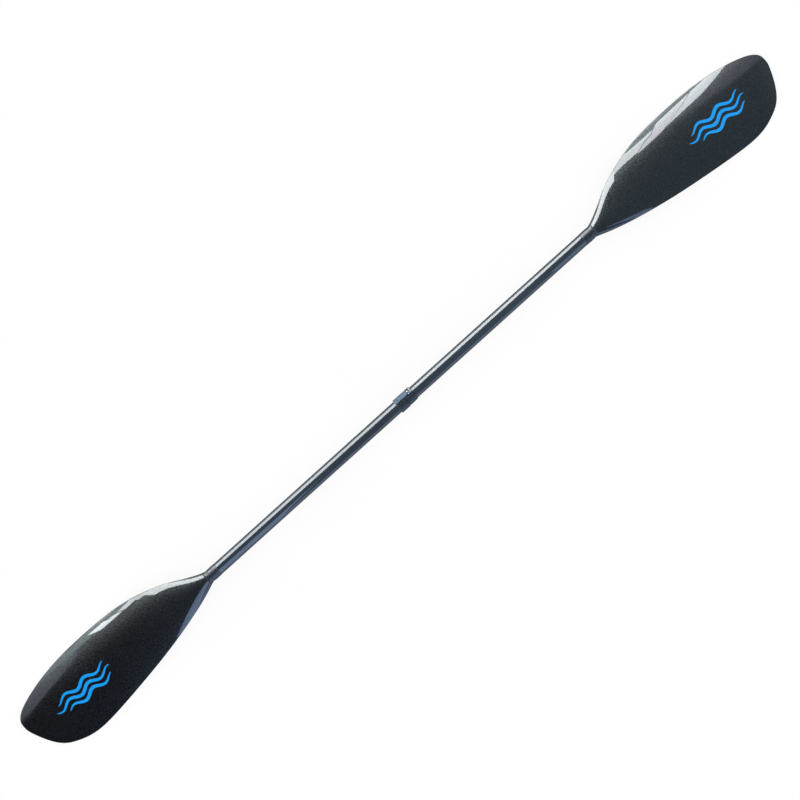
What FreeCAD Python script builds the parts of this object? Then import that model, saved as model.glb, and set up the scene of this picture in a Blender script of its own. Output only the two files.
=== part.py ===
"""Take-apart wing paddle for a kayak: two bladed halves joined by a lever-locked ferrule.

The shaft lies along X, the convex backs of the blades face up (+Z) and their rolled edges
point to +Y. The origin is on the floor under the middle of the shaft. Sizes in millimetres.
"""
import FreeCAD
import Part
import math
import os

from FreeCAD import Placement, Rotation, Vector

SIZES = {
    # overall
    "paddle_length": 2150.0,
    "blade_length": 530.0,
    "blade_width": 176.2,
    # tubes
    "tube_radius": 14.25,
    "tube_wall": 1.4,
    "slide_clearance": 0.05,
    "spigot_wall": 1.5,
    "spigot_insertion": 175.0,
    "spigot_bond": 140.0,
    "cap_flange": 2.0,
    "cap_depth": 12.0,
    "bulkhead_length": 25.0,
    "bulkhead_place": 290.0,
    # neck joint
    "tenon_length": 60.0,
    "tenon_taper_length": 60.0,
    "tenon_tip_radius": 5.0,
    "tenon_shoulder": 0.7,
    "sleeve_wall": 0.5,
    "sleeve_on_tube": 17.0,
    "sleeve_on_blade": 7.0,
    # blade section
    "skin_thickness": 0.9,
    "rim_half_height": 1.5,
    "rim_flange": 2.5,
    "tip_half_height": 2.2,
    "tip_drop": 34.0,
    "edge_roll": 30.0,
    "lower_roll": 10.0,
    "blade_set_angle": 5.0,
    # collar, measured along X from the middle of the paddle
    "collar_start": -7.0,
    "tube_stop": 15.5,
    "groove_start": 17.1,
    "groove_width": 1.3,
    "collar_mouth": 39.0,
    "mouth_gap": 0.3,
    "collar_radius": 17.0,
    "groove_radius": 15.2,
    "band_radius": 16.6,
    "mouth_radius": 15.6,
    "collar_chamfer": 1.2,
    "collar_clocking": 38.0,
    # lever and hinge, measured outward from the shaft axis
    "hinge_place": 30.5,
    "hinge_height": 17.2,
    "pin_radius": 1.25,
    "pin_clearance": 0.05,
    "pin_inner_end": 2.2,
    "pin_outer_end": 7.4,
    "ear_half_width": 7.85,
    "ear_top": 18.6,
    "ear_radius": 2.4,
    "ear_foot": 1.0,
    "crown_radius": 19.9,
    "nose_radius": 2.3,
    "nose_half_width": 5.6,
    "lever_half_width": 7.25,
    "lever_start": -5.0,
    "lever_shoulder": 26.1,
    "lever_underside": 15.6,
    "lever_top": 18.9,
    "lever_gap": 0.15,
    # shoe and tension screw
    "shoe_length": 7.0,
    "shoe_half_width": 4.4,
    "shoe_clearance": 0.2,
    "shoe_gap": 0.1,
    "screw_radius": 1.45,
    "screw_clearance": 0.05,
    "screw_reach": 2.8,
    "screw_head_height": 18.6,
    "socket_radius": 0.85,
    "socket_depth": 1.8,
    # ring in the mouth
    "ring_width": 2.5,
    "ring_wall": 1.55,
    "ring_lip": 0.9,
    "ring_clearance": 0.05,
}

# Outline of a blade, from the neck to the tip: distance from the neck as a share of the blade's
# length, and distance from the shaft axis as a share of half its width.
ROLLED_EDGE = [
    (0.076, 0.297), (0.168, 0.583), (0.274, 0.811), (0.396, 0.960), (0.547, 1.008),
    (0.698, 0.986), (0.821, 0.889), (0.915, 0.743), (0.977, 0.571), (1.0, 0.354),
]
LOWER_EDGE = [
    (0.076, -0.280), (0.168, -0.440), (0.274, -0.589), (0.396, -0.726), (0.547, -0.857),
    (0.698, -0.960), (0.802, -0.954), (0.883, -0.800), (0.953, -0.43), (1.0, 0.217),
]
NECK_ROWS = (0.0, 0.017)
STEPS_PER_ROW = 3
ACROSS = 16

doc = FreeCAD.newDocument("kayak_paddle")
sheet = doc.addObject("Spreadsheet::Sheet", "Sizes")
COMPUTED = {"spigot_radius": "=tube_radius - slide_clearance - tube_wall", "axis_height": "0"}
for row, (alias, value) in enumerate({**SIZES, **COMPUTED}.items(), start=1):
    sheet.set(f"A{row}", alias)
    sheet.set(f"B{row}", str(value))
    sheet.setAlias(f"B{row}", alias)
AXIS_CELL = f"B{len(SIZES) + len(COMPUTED)}"
doc.recompute()


def size(alias):
    """A driving dimension, in millimetres or degrees."""
    return float(sheet.get(alias))


# ---------------------------------------------------------------- blades


def smooth_step(share):
    """0 to 1 with level ends."""
    share = min(max(share, 0.0), 1.0)
    return share * share * (3.0 - 2.0 * share)


def edge_curve(outline, side):
    """Plan view of one edge of the right-hand blade, through the neck and the outline's points."""
    neck = size("paddle_length") / 2 - size("blade_length")
    root = side * size("tube_radius")
    points = [Vector(neck + share * size("blade_length"), root, 0) for share in NECK_ROWS]
    for along, across in outline:
        x = neck + along * size("blade_length")
        points.append(Vector(x, across * size("blade_width") / 2, 0))
    curve = Part.BSplineCurve()
    curve.interpolate(Points=points, Parameters=[float(i) for i in range(len(points))])
    return curve


def mould_height(x, y, share, half_height):
    """Height of the blade's middle surface above the shaft axis."""
    reach = size("blade_width") / 2
    ease = smooth_step(share / 0.45)
    back_line = size("tube_radius") - size("tip_drop") * share ** 2
    roll = size("edge_roll") * (max(y, 0.0) / reach) ** 3.2
    roll += size("lower_roll") * (max(-y, 0.0) / reach) ** 2.2
    tilt = y * math.tan(math.radians(size("blade_set_angle")))
    return back_line - half_height + ease * (tilt - roll)


class BladeGrid:
    """Rows of surface points from the neck to the tip, shared by the two skins and the core."""

    def __init__(self):
        rolled = edge_curve(ROLLED_EDGE, 1)
        lower = edge_curve(LOWER_EDGE, -1)
        last = len(ROLLED_EDGE) + len(NECK_ROWS) - 1
        count = last * STEPS_PER_ROW
        self.rows = []
        for index in range(count + 1):
            place = last * index / count
            self.rows.append((rolled.value(place), lower.value(place), index == count))

    def point(self, row, across, height_sign, inner):
        """A point at 'across' (-1 lower edge to 1 rolled edge) on an outer or inner surface."""
        top, bottom, at_tip = row
        middle = (top + bottom) * 0.5
        half = (top - bottom) * 0.5
        neck = size("paddle_length") / 2 - size("blade_length")
        share = min(max((middle.x - neck) / size("blade_length"), 0.0), 1.0)
        radius = size("tube_radius")
        rim = size("rim_half_height")
        centre = size("tip_half_height") + (radius - size("tip_half_height")) * (1.0 - share) ** 1.6
        fullness = 1.0 + 0.6 * smooth_step(share / 0.3)
        limit = math.acos(rim / radius)
        inner_limit = 1.0 - size("rim_flange") / half.y
        if inner:
            offset = inner_limit * math.sin(across * math.pi / 2)
            profile = max(math.cos(across * math.pi / 2), 0.0) ** fullness
            fade = 0.04 if at_tip else 1.0
            height = (centre - size("skin_thickness")) * profile * fade
        else:
            offset = math.sin(across * limit) / math.sin(limit)
            lift = max((math.cos(across * limit) - math.cos(limit)) / (1.0 - math.cos(limit)), 0.0)
            height = rim + (centre - rim) * lift ** fullness
        base = middle + half * offset
        level = mould_height(base.x, base.y, share, centre)
        return Vector(base.x, base.y, level + height_sign * height)

    def outer(self, row, height_sign):
        return [self.point(row, 2 * k / ACROSS - 1, height_sign, False) for k in range(ACROSS + 1)]

    def inner(self, row, height_sign):
        return [self.point(row, 2 * k / ACROSS - 1, height_sign, True) for k in range(ACROSS + 1)]

    def rim(self, row, side):
        """Point on the middle surface at one rim, where the two skins meet."""
        upper = self.point(row, side, 1, False)
        lower = self.point(row, side, -1, False)
        return (upper + lower) * 0.5


def clamped_knots(count, degree):
    """Knots and multiplicities of a clamped spline with evenly spaced knots."""
    inside = count - degree
    knots = [float(i) for i in range(inside + 1)]
    multiplicities = [degree + 1] + [1] * (inside - 1) + [degree + 1]
    return knots, multiplicities


def spline_face(rows):
    """Face whose control net is a list of rows of points; strips of two points are straight across."""
    degree_along = 3
    degree_across = min(3, len(rows[0]) - 1)
    knots_u, mults_u = clamped_knots(len(rows), degree_along)
    knots_v, mults_v = clamped_knots(len(rows[0]), degree_across)
    surface = Part.BSplineSurface()
    surface.buildFromPolesMultsKnots(
        rows, mults_u, mults_v, knots_u, knots_v, False, False, degree_along, degree_across
    )
    return surface.toShape()


def spline_edge(points):
    """Edge with the same knots as the faces' borders."""
    knots, multiplicities = clamped_knots(len(points), 3)
    curve = Part.BSplineCurve()
    curve.buildFromPolesMultsKnots(points, multiplicities, knots, False, 3)
    return curve.toShape()


def straight_edge(start, end):
    return Part.LineSegment(start, end).toShape()


def end_face(edges):
    """Flat face inside a loop of edges that lie in one plane."""
    return Part.Face(Part.Wire(Part.__sortEdges__(edges)))


def closed_solid(faces):
    """Sewn solid with its faces pointing outwards."""
    shell = Part.makeShell(faces)
    shell.sewShape()
    solid = Part.Solid(shell if shell.ShapeType == "Shell" else shell.Shells[0])
    if solid.Volume < 0:
        solid.reverse()
    solid.fix(1e-4, 1e-4, 1e-4)
    return solid


def blade_skin(grid, height_sign):
    """Moulded skin: outer surface, inner surface and the bonding flange along both rims."""
    outer = [grid.outer(row, height_sign) for row in grid.rows]
    inner = [grid.inner(row, height_sign) for row in grid.rows]
    rolled = [grid.rim(row, 1) for row in grid.rows]
    lower = [grid.rim(row, -1) for row in grid.rows]
    faces = [spline_face(outer), spline_face(inner)]
    faces.append(spline_face([[a[-1], b] for a, b in zip(outer, rolled)]))
    faces.append(spline_face([[b, a[-1]] for a, b in zip(inner, rolled)]))
    faces.append(spline_face([[a[0], b] for a, b in zip(outer, lower)]))
    faces.append(spline_face([[b, a[0]] for a, b in zip(inner, lower)]))
    for k in (0, -1):
        loop = [
            spline_edge(outer[k]),
            straight_edge(outer[k][-1], rolled[k]),
            straight_edge(rolled[k], inner[k][-1]),
            spline_edge(inner[k]),
            straight_edge(inner[k][0], lower[k]),
            straight_edge(lower[k], outer[k][0]),
        ]
        faces.append(end_face(loop))
    return closed_solid(faces)


def blade_core(grid):
    """Foam between the inner surfaces of the two skins."""
    upper = [grid.inner(row, 1) for row in grid.rows]
    lower = [grid.inner(row, -1) for row in grid.rows]
    faces = [spline_face(upper), spline_face(lower)]
    for k in (0, -1):
        faces.append(end_face([spline_edge(upper[k]), spline_edge(lower[k])]))
    return closed_solid(faces)


def mirrored(shape):
    return shape.mirror(Vector(0, 0, 0), Vector(1, 0, 0))


grid = BladeGrid()
back_skin = blade_skin(grid, 1)
power_skin = blade_skin(grid, -1)
core = blade_core(grid)
sheet.set(AXIS_CELL, f"{-power_skin.optimalBoundingBox(True, False).ZMin:.3f}")
doc.recompute()

# ---------------------------------------------------------------- helpers for bound objects

ALONG_X = Rotation(Vector(0, 1, 0), 90)
ALONG_Y = Rotation(Vector(1, 0, 0), -90)


def bind(item, **expressions):
    """Tie properties to formulas in the sheet; double underscores stand for dots."""
    for name, formula in expressions.items():
        item.setExpression(name.replace("__", "."), formula)
    return item


def cells(formula):
    """Let a formula name the sheet's cells directly."""
    words = sorted([*SIZES, *COMPUTED], key=len, reverse=True)
    out = []
    token = ""
    for letter in formula + " ":
        if letter.isalnum() or letter == "_":
            token += letter
            continue
        out.append(f"Sizes.{token}" if token in words else token)
        out.append(letter)
        token = ""
    return "".join(out).strip()


def rod_x(name, radius, start, length):
    """Cylinder on the shaft axis from 'start' towards +X."""
    item = doc.addObject("Part::Cylinder", name)
    item.Placement = Placement(Vector(0, 0, 0), ALONG_X)
    return bind(item, Radius=cells(radius), Height=cells(length), Placement__Base__x=cells(start))


def cone_x(name, first, second, start, length):
    """Cone on the shaft axis from 'start' towards +X."""
    item = doc.addObject("Part::Cone", name)
    item.Placement = Placement(Vector(0, 0, 0), ALONG_X)
    bind(item, Radius1=cells(first), Radius2=cells(second), Height=cells(length))
    return bind(item, Placement__Base__x=cells(start))


def rod_y(name, radius, x, y, z, length):
    """Cylinder across the shaft, from 'y' towards +Y."""
    item = doc.addObject("Part::Cylinder", name)
    item.Placement = Placement(Vector(0, 0, 0), ALONG_Y)
    bind(item, Radius=cells(radius), Height=cells(length), Placement__Base__x=cells(x))
    return bind(item, Placement__Base__y=cells(y), Placement__Base__z=cells(z))


def rod_z(name, radius, x, z, length):
    """Cylinder standing on the middle plane, from 'z' outwards."""
    item = doc.addObject("Part::Cylinder", name)
    bind(item, Radius=cells(radius), Height=cells(length))
    return bind(item, Placement__Base__x=cells(x), Placement__Base__z=cells(z))


def block(name, x, length, half_width, z, height):
    """Box centred across the shaft."""
    item = doc.addObject("Part::Box", name)
    bind(item, Length=cells(length), Width=cells(f"2 * ({half_width})"), Height=cells(height))
    bind(item, Placement__Base__x=cells(x), Placement__Base__y=cells(f"-({half_width})"))
    return bind(item, Placement__Base__z=cells(z))


def fuse(name, *pieces):
    item = doc.addObject("Part::MultiFuse", name)
    item.Shapes = list(pieces)
    return item


def cut(name, base, *tools):
    tool = tools[0] if len(tools) == 1 else fuse(f"{name}_tools", *tools)
    item = doc.addObject("Part::Cut", name)
    item.Base = base
    item.Tool = tool
    return item


def common(name, *pieces):
    item = doc.addObject("Part::MultiCommon", name)
    item.Shapes = list(pieces)
    return item


NODES = []


def node(item, label, clocked=False):
    """Name a finished piece and raise it to the shaft's height; collar pieces are turned as well."""
    item.Label = label
    if clocked:
        item.Placement = Placement(Vector(0, 0, 0), Rotation(Vector(1, 0, 0), -size("collar_clocking")))
        bind(item, Placement__Rotation__Angle="-1 * Sizes.collar_clocking")
    bind(item, Placement__Base__z="Sizes.axis_height")
    NODES.append(item)
    return item


def solid_node(shape, label):
    item = doc.addObject("Part::Feature", label)
    item.Shape = shape
    return node(item, label)


# ---------------------------------------------------------------- blades and shaft, one half each


def blade_half(side, sign, bore):
    """Blade, tenon, sleeve and bulkhead of one half; sign is 1 for the +X half."""
    shape_of = mirrored if sign < 0 else (lambda shape: shape.copy())
    solid_node(shape_of(back_skin), f"{side}_blade_back_skin")
    solid_node(shape_of(power_skin), f"{side}_blade_power_skin")
    foam = doc.addObject("Part::Feature", f"{side}_core_blank")
    foam.Shape = shape_of(core)

    neck = "(paddle_length / 2 - blade_length)"
    straight_start = f"{neck} - tenon_length" if sign > 0 else f"-{neck}"
    straight = rod_x(f"{side}_tenon_straight", bore, straight_start, "tenon_length")
    taper_root = "tube_radius - rim_flange - tenon_shoulder"
    if sign > 0:
        radii = (taper_root, "tenon_tip_radius")
        taper_start = neck
    else:
        radii = ("tenon_tip_radius", taper_root)
        taper_start = f"-{neck} - tenon_taper_length"
    taper = cone_x(f"{side}_tenon_taper", *radii, taper_start, "tenon_taper_length")
    pocket = cone_x(f"{side}_tenon_pocket", *radii, taper_start, "tenon_taper_length")
    node(cut(f"{side}_core_cut", foam, pocket), f"{side}_blade_core")
    node(fuse(f"{side}_tenon", straight, taper), f"{side}_neck_tenon")

    reach = "(sleeve_on_tube + sleeve_on_blade)"
    sleeve_start = f"{neck} - sleeve_on_tube" if sign > 0 else f"-{neck} - sleeve_on_blade"
    wrap = rod_x(f"{side}_sleeve_outside", "tube_radius + sleeve_wall", sleeve_start, reach)
    hole = rod_x(f"{side}_sleeve_inside", "tube_radius", sleeve_start, reach)
    node(cut(f"{side}_sleeve", wrap, hole), f"{side}_neck_sleeve")

    plug_start = "bulkhead_place" if sign > 0 else "-bulkhead_place - bulkhead_length"
    plug = rod_x(f"{side}_plug", bore, plug_start, "bulkhead_length")
    node(plug, f"{side}_shaft_bulkhead")


def shaft_tube(side, bore, start, length):
    outside = rod_x(f"{side}_tube_outside", "tube_radius", start, length)
    inside = rod_x(f"{side}_tube_inside", bore, start, length)
    return node(cut(f"{side}_tube", outside, inside), f"{side}_shaft_tube")


SLIDING_BORE = "spigot_radius + slide_clearance"
NECK = "(paddle_length / 2 - blade_length)"
blade_half("left", -1, SLIDING_BORE)
blade_half("right", 1, "spigot_radius")
shaft_tube("left", SLIDING_BORE, f"-{NECK}", f"{NECK} + tube_stop")
SHOULDER = "(collar_mouth + mouth_gap)"
shaft_tube("right", "spigot_radius", SHOULDER, f"{NECK} - {SHOULDER}")

# ---------------------------------------------------------------- inner ferrule


def spigot():
    """Tube bonded in the right half that slides in the left half, with a cap on its free end."""
    length = "spigot_insertion + spigot_bond"
    outside = rod_x("spigot_outside", "spigot_radius", "-spigot_insertion", length)
    inside = rod_x("spigot_inside", "spigot_radius - spigot_wall", "-spigot_insertion", length)
    node(cut("spigot", outside, inside), "spigot_tube")
    flange = rod_x("cap_flange_disc", "spigot_radius - 0.2", "-spigot_insertion - cap_flange", "cap_flange")
    stem = rod_x("cap_stem", "spigot_radius - spigot_wall", "-spigot_insertion", "cap_depth")
    node(fuse("cap", flange, stem), "spigot_end_cap")


spigot()

# ---------------------------------------------------------------- collar and its lock


def collar():
    """Ferrule collar: fixed sleeve, relief groove, clamping band and the lever's hinge ears."""
    chamfer = cone_x(
        "collar_nose", "collar_radius - collar_chamfer", "collar_radius", "collar_start", "collar_chamfer"
    )
    sleeve = rod_x(
        "collar_sleeve",
        "collar_radius",
        "collar_start + collar_chamfer",
        "groove_start - collar_start - collar_chamfer",
    )
    web = rod_x("collar_web", "groove_radius", "groove_start", "groove_width")
    band_start = "(groove_start + groove_width)"
    band = cone_x("collar_band", "band_radius", "mouth_radius", band_start, f"collar_mouth - {band_start}")

    ear_start = "(hinge_place - ear_radius - ear_foot)"
    root = block(
        "ear_root",
        ear_start,
        f"collar_mouth - 0.2 - {ear_start}",
        "ear_half_width",
        "12",
        "hinge_height - 12",
    )
    eye = rod_y(
        "ear_eye", "ear_radius", "hinge_place", "-ear_half_width", "hinge_height", "2 * ear_half_width"
    )
    bridge = block(
        "ear_bridge",
        "hinge_place",
        "collar_mouth - 0.2 - hinge_place",
        "ear_half_width",
        "12",
        "ear_top - 12",
    )
    body = fuse("collar_blank", chamfer, sleeve, web, band, root, eye, bridge)
    crown = rod_x("collar_crown", "crown_radius", "collar_start", "collar_mouth - collar_start")
    blank = common("collar_crowned", body, crown)

    tube_seat = rod_x("collar_tube_seat", "tube_radius", "collar_start - 1", "tube_stop - collar_start + 1")
    bore_length = "collar_mouth - tube_stop + 2"
    bore = rod_x("collar_bore", SLIDING_BORE, "tube_stop - 1", bore_length)
    ring_start = "(collar_mouth - ring_lip - ring_width - 2 * ring_clearance)"
    ring_seat = rod_x(
        "collar_ring_seat",
        "spigot_radius + ring_wall + 2 * ring_clearance",
        ring_start,
        "ring_width + 2 * ring_clearance",
    )
    lip_start = "collar_mouth - ring_lip - 0.1"
    lip = rod_x("collar_lip_hole", "spigot_radius + ring_wall / 2", lip_start, "ring_lip + 1")
    flat = block(
        "lever_flat",
        "collar_start - 1",
        f"{ear_start} - collar_start + 1",
        "collar_radius",
        "lever_underside - lever_gap",
        "8",
    )
    nose_room = block(
        "nose_room",
        "hinge_place - nose_radius - 1.3",
        "2 * nose_radius + 3.2",
        "nose_half_width + pin_clearance * 3",
        "hinge_height - screw_reach - 0.2",
        "8",
    )
    window = block(
        "shoe_window",
        "hinge_place - shoe_length / 2 - shoe_clearance",
        "shoe_length + 2 * shoe_clearance",
        "shoe_half_width + shoe_clearance",
        "5",
        "14",
    )
    pins = rod_y(
        "pin_holes", "pin_radius", "hinge_place", "-pin_outer_end", "hinge_height", "2 * pin_outer_end"
    )
    made = cut("collar", blank, tube_seat, bore, ring_seat, lip, flat, nose_room, window, pins)
    node(made, "clamp_collar", clocked=True)


def hinge_pins():
    length = "pin_outer_end - pin_inner_end"
    near = rod_y("near_pin", "pin_radius", "hinge_place", "-pin_outer_end", "hinge_height", length)
    far = rod_y("far_pin", "pin_radius", "hinge_place", "pin_inner_end", "hinge_height", length)
    pair = doc.addObject("Part::Compound", "hinge_pins")
    pair.Links = [near, far]
    node(pair, "lever_hinge_pins", clocked=True)


def lever():
    """Flat lever with a crowned top, a finger scoop at its free end and a round nose on the pins."""
    plate = block(
        "lever_plate",
        "lever_start",
        "lever_shoulder - lever_start",
        "lever_half_width",
        "lever_underside",
        "lever_top - lever_underside",
    )
    tongue = block(
        "lever_tongue",
        "lever_shoulder",
        "hinge_place - lever_shoulder",
        "nose_half_width",
        "lever_underside",
        "hinge_height + nose_radius - lever_underside",
    )
    nose = rod_y(
        "lever_nose", "nose_radius", "hinge_place", "-nose_half_width", "hinge_height", "2 * nose_half_width"
    )
    crown = rod_x(
        "lever_crown", "crown_radius - 0.4", "lever_start", "hinge_place + nose_radius - lever_start"
    )
    blank = common("lever_crowned", fuse("lever_blank", plate, tongue, nose), crown)
    eye = rod_y(
        "lever_eye",
        "pin_radius + pin_clearance",
        "hinge_place",
        "-nose_half_width - 1",
        "hinge_height",
        "2 * nose_half_width + 2",
    )
    thread = rod_z("lever_thread", "screw_radius + screw_clearance", "hinge_place", "10", "15")
    scoop = rod_y(
        "lever_scoop",
        "2.2",
        "lever_start",
        "-lever_half_width - 1",
        "lever_underside - 0.4",
        "2 * lever_half_width + 2",
    )
    node(cut("lever", blank, eye, thread, scoop), "clamp_lever", clocked=True)


def tension_screw():
    """Set screw with a domed tip and a hexagon socket."""
    dome_centre = "hinge_height - screw_reach + screw_radius"
    shank_length = f"screw_head_height - ({dome_centre})"
    shank = rod_z("screw_shank", "screw_radius", "hinge_place", dome_centre, shank_length)
    dome = doc.addObject("Part::Sphere", "screw_dome")
    bind(dome, Radius=cells("screw_radius"), Placement__Base__x=cells("hinge_place"))
    bind(dome, Placement__Base__z=cells(dome_centre))
    socket = doc.addObject("Part::Prism", "screw_socket")
    socket.Polygon = 6
    bind(socket, Circumradius=cells("socket_radius"), Height=cells("socket_depth + 1"))
    bind(socket, Placement__Base__x=cells("hinge_place"))
    bind(socket, Placement__Base__z=cells("screw_head_height - socket_depth"))
    node(cut("screw", fuse("screw_blank", shank, dome), socket), "tension_screw", clocked=True)


def pressure_shoe():
    """Pad with a hollow underside that bears on the spigot."""
    top = "(hinge_height - screw_reach - shoe_gap)"
    pad = block(
        "shoe_pad", "hinge_place - shoe_length / 2", "shoe_length", "shoe_half_width", "10", f"{top} - 10"
    )
    hollow = rod_x(
        "shoe_hollow", "spigot_radius + 2 * slide_clearance", "hinge_place - shoe_length", "2 * shoe_length"
    )
    node(cut("shoe", pad, hollow), "pressure_shoe", clocked=True)


def seal_ring():
    start = "collar_mouth - ring_lip - ring_width - ring_clearance"
    outside = rod_x("ring_outside", "spigot_radius + ring_wall + ring_clearance", start, "ring_width")
    inside = rod_x("ring_inside", "spigot_radius + slide_clearance", start, "ring_width")
    node(cut("ring", outside, inside), "mouth_seal_ring")


collar()
hinge_pins()
lever()
tension_screw()
pressure_shoe()
seal_ring()

# ---------------------------------------------------------------- checks and files

doc.recompute()
for item in doc.Objects:
    if "Invalid" in item.State or "Error" in item.State:
        raise RuntimeError(f"{item.Name} failed: {item.State}")
os.makedirs("parts", exist_ok=True)
for item in NODES:
    shape = item.Shape
    if shape.isNull() or not shape.isValid() or not shape.Solids:
        raise RuntimeError(f"{item.Label} has no valid solid")
    shape.exportStep(f"parts/{item.Label}.step")
    box = shape.optimalBoundingBox(True, False)
    extent = f"z {box.ZMin:.2f}..{box.ZMax:.2f}"
    print(f"{item.Label}: {len(shape.Solids)} solids, {shape.Volume:.0f} mm3, {extent}")
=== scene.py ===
"""Looks of the take-apart wing paddle: moulded carbon blades, tubes, neck bands and the lever collar.

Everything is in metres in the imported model's own frame. Each visible piece is built as fine mesh
around the fixed frame, dressed in a procedural finish and tied to the rigid body it moves with.
"""
import logging
import math
from dataclasses import dataclass, field
from enum import Enum

import bmesh
import bpy
import numpy as np
from mathutils import Matrix, Vector
from mathutils.bvhtree import BVHTree


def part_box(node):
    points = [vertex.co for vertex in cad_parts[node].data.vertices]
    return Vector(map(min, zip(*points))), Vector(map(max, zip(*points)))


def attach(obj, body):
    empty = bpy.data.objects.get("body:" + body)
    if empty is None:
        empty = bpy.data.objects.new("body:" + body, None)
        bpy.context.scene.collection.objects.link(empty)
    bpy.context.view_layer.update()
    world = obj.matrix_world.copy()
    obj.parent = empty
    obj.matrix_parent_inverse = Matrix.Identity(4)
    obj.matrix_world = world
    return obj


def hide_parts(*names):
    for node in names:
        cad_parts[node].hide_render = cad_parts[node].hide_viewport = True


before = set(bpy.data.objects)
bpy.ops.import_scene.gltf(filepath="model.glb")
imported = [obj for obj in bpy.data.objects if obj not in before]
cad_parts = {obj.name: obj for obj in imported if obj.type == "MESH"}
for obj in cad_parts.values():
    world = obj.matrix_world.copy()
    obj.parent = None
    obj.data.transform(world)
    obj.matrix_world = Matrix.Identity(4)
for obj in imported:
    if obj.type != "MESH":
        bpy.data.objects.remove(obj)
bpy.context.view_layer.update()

MM = 0.001
MICRON = 0.000001
LOG = logging.getLogger("paddle")
Material = bpy.types.Material
Piece = bpy.types.Object
Socket = bpy.types.NodeSocket
Colour = tuple[float, float, float, float]
Tint = tuple[float, float, float]
Point = tuple[float, float, float]


class Side(Enum):
    """The two halves of the paddle, with the sign of X on which each lies."""

    LEFT = -1
    RIGHT = 1

    @property
    def word(self) -> str:
        """The side's name as it starts node names."""
        return self.name.lower()

    @property
    def body(self) -> str:
        """The rigid body that the half's pieces ride on."""
        return f"{self.word}_half"


class Slot(Enum):
    """Names of the record's material slots, one for each kind of new piece."""

    CARBON = "carbon_gloss"
    SLEEVE = "sleeve_matte"
    COLLAR = "collar_plastic"
    LEVER = "lever_metal"


# Finishes


class NodeSheet:
    """Short calls for wiring one material's or world's node tree."""

    def __init__(self, tree: bpy.types.NodeTree) -> None:
        """Start from an empty tree.

        Args:
            tree: the node tree to fill.
        """
        self.tree = tree
        tree.nodes.clear()

    def add(self, kind: str, **settings: object) -> bpy.types.Node:
        """Add a node and set its plain properties.

        Args:
            kind: the node's type name.
            settings: property names and values.

        Returns:
            The new node.
        """
        node = self.tree.nodes.new(kind)
        for name, value in settings.items():
            setattr(node, name, value)
        return node

    def feed(self, target: Socket, source: object) -> None:
        """Give a socket a constant or another node's output.

        Args:
            target: the input socket.
            source: a number, a colour or an output socket.
        """
        if isinstance(source, Socket):
            self.tree.links.new(source, target)
        else:
            target.default_value = source

    def wire(self, shader: bpy.types.Node, inputs: dict[str, object]) -> None:
        """Feed a shader's inputs.

        Args:
            shader: the shader node.
            inputs: each input's name, with its number, colour or socket.
        """
        for name, source in inputs.items():
            self.feed(shader.inputs[name], source)

    def maths(self, operation: str, first: object, second: object = 0.0) -> Socket:
        """One arithmetic step.

        Args:
            operation: the name of the sum.
            first: first number or socket.
            second: second number or socket.

        Returns:
            The result's socket.
        """
        node = self.add("ShaderNodeMath", operation=operation)
        self.feed(node.inputs[0], first)
        self.feed(node.inputs[1], second)
        return node.outputs[0]

    def ramp(self, value: Socket, low: float, high: float, start: float = 0.0,
             end: float = 1.0) -> Socket:
        """Smooth rescaling of a value.

        Args:
            value: the value.
            low: input that gives 'start'.
            high: input that gives 'end'.
            start: lowest output.
            end: highest output.

        Returns:
            The rescaled value's socket.
        """
        node = self.add("ShaderNodeMapRange", interpolation_type="SMOOTHSTEP")
        for socket, number in zip(node.inputs[1:5], (low, high, start, end)):
            socket.default_value = number
        self.feed(node.inputs[0], value)
        return node.outputs[0]

    def blend(self, share: object, first: object, second: object) -> Socket:
        """Mix of two colours.

        Args:
            share: 0 for the first colour, 1 for the second.
            first: colour or socket.
            second: colour or socket.

        Returns:
            The mixed colour's socket.
        """
        node = self.add("ShaderNodeMix", data_type="RGBA")
        self.feed(node.inputs[0], share)
        self.feed(node.inputs[6], first)
        self.feed(node.inputs[7], second)
        return node.outputs[2]

    def noise(self, place: Socket, scale: float, detail: float = 3.0) -> Socket:
        """Noise between 0 and 1.

        Args:
            place: coordinates in metres.
            scale: features per metre.
            detail: octaves.

        Returns:
            The noise value's socket.
        """
        node = self.add("ShaderNodeTexNoise")
        node.inputs["Scale"].default_value = scale
        node.inputs["Detail"].default_value = detail
        self.feed(node.inputs["Vector"], place)
        return node.outputs["Fac"]

    def bump(self, height: Socket, depth: float) -> Socket:
        """Surface relief.

        Args:
            height: value between 0 and 1.
            depth: relief in metres.

        Returns:
            The bent normal's socket.
        """
        node = self.add("ShaderNodeBump")
        node.inputs["Strength"].default_value = 1.0
        node.inputs["Distance"].default_value = depth
        self.feed(node.inputs["Height"], height)
        return node.outputs["Normal"]


def shaded(colour: Colour, share: float) -> Colour:
    """The colour darkened to a share of itself."""
    return (*(channel * share for channel in colour[:3]), 1.0)


def start_material(name: str) -> tuple[Material, NodeSheet, bpy.types.Node, Socket]:
    """Open a node material with its shader and object coordinates.

    Args:
        name: the material's name.

    Returns:
        The material, its wiring sheet, the shader node and the coordinates' socket.
    """
    material = bpy.data.materials.new(name)
    material.use_nodes = True
    sheet = NodeSheet(material.node_tree)
    shader = sheet.add("ShaderNodeBsdfPrincipled")
    out = sheet.add("ShaderNodeOutputMaterial")
    sheet.feed(out.inputs["Surface"], shader.outputs["BSDF"])
    place = sheet.add("ShaderNodeTexCoord").outputs["Object"]
    return material, sheet, shader, place


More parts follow.
